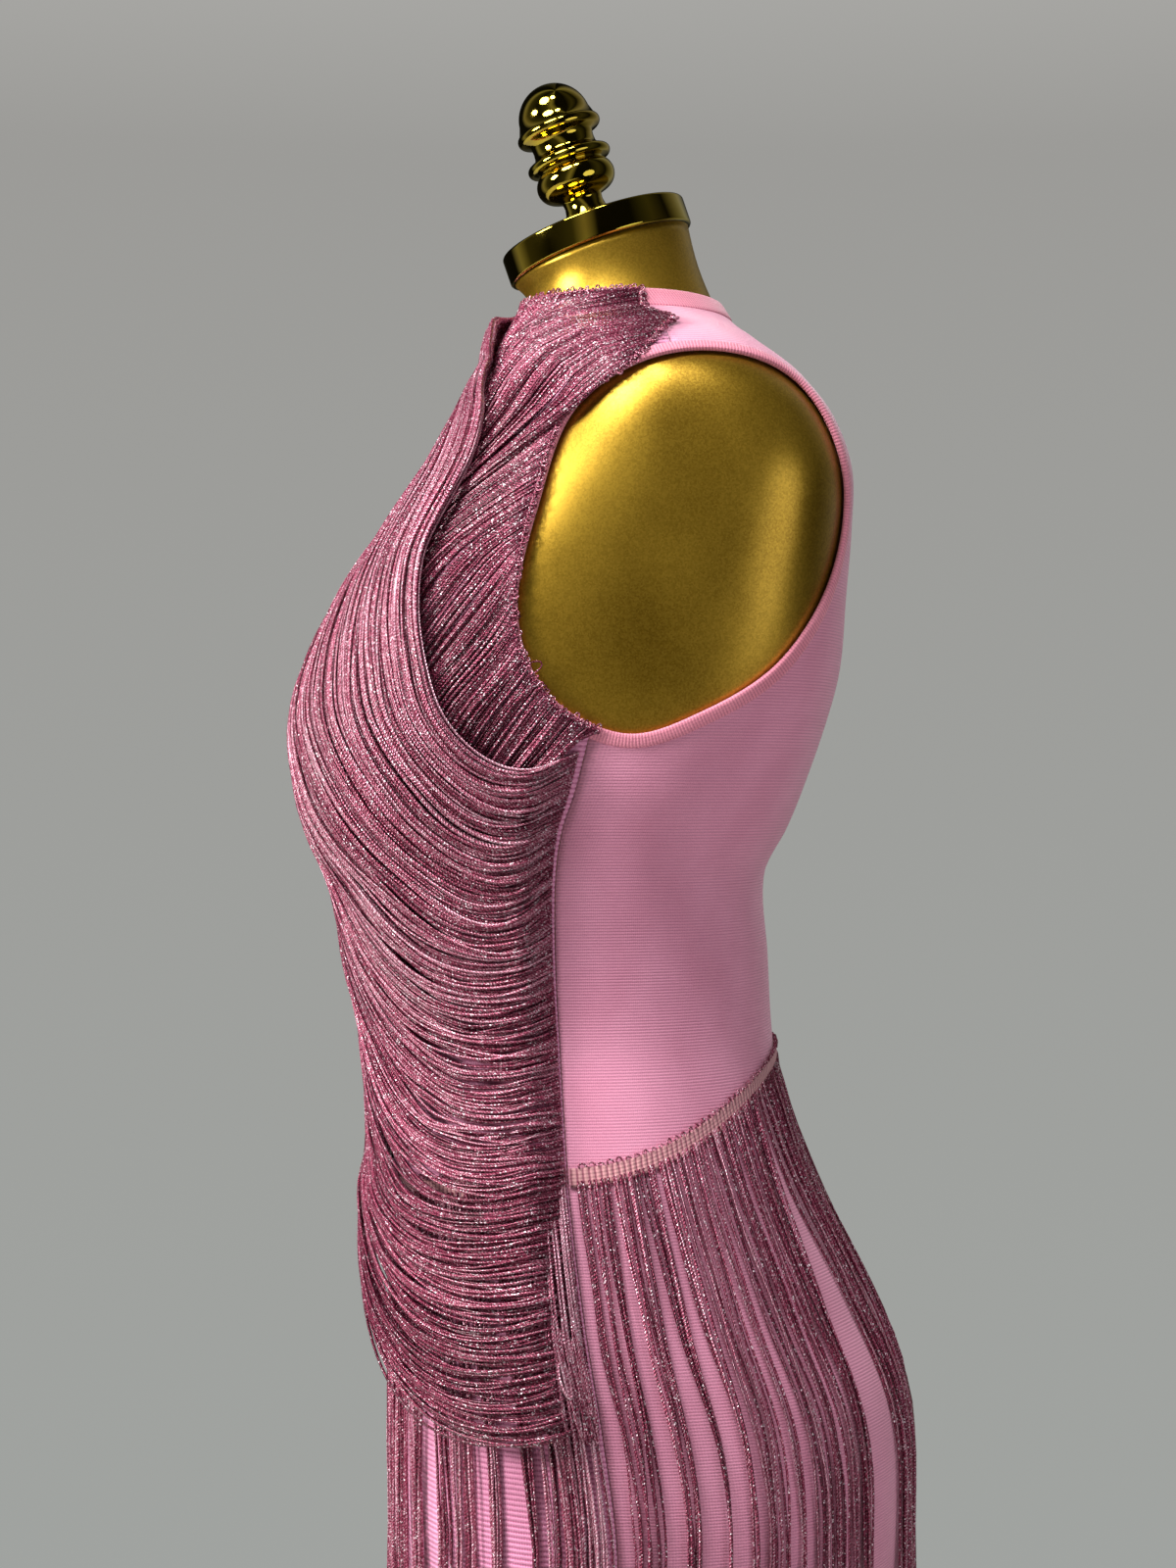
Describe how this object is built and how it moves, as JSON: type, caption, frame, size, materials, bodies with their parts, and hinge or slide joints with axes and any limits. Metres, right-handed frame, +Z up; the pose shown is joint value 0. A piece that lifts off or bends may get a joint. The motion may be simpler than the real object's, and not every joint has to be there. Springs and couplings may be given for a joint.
{
  "type": "bodycon dress on dress form",
  "caption": "Sleeveless high-neck knit bodycon dress with criss-cross fringe drapes and a fringe skirt, on a limbless gold dress form with a round stand.",
  "frame": {"origin": "centre of the stand base's underside, on the floor", "axes": "+Z up the pole; the front of the dress faces -Y; +X is the wearer's left"},
  "size_m": [0.3515, 0.33, 1.5469],
  "materials": {
    "knit": "matte",
    "rib_binding": "matte",
    "fringe": "satin",
    "gold_paint": "satin",
    "gold_chrome": "polished",
    "stand_metal": "satin"
  },
  "bodies": {
    "root": {"front_panel": "knit", "back_panel": "knit", "neck_band": "rib_binding", "armhole_binding_left": "rib_binding", "armhole_binding_right": "rib_binding", "drape_under": "fringe", "drape_over": "fringe", "skirt_fringe_front": "fringe", "skirt_fringe_back": "fringe", "form_torso": "gold_paint", "form_neck_cap": "gold_chrome", "form_finial": "gold_chrome", "stand_socket": "stand_metal", "stand_pole": "stand_metal", "stand_base": "stand_metal"}
  },
  "joints": []
}
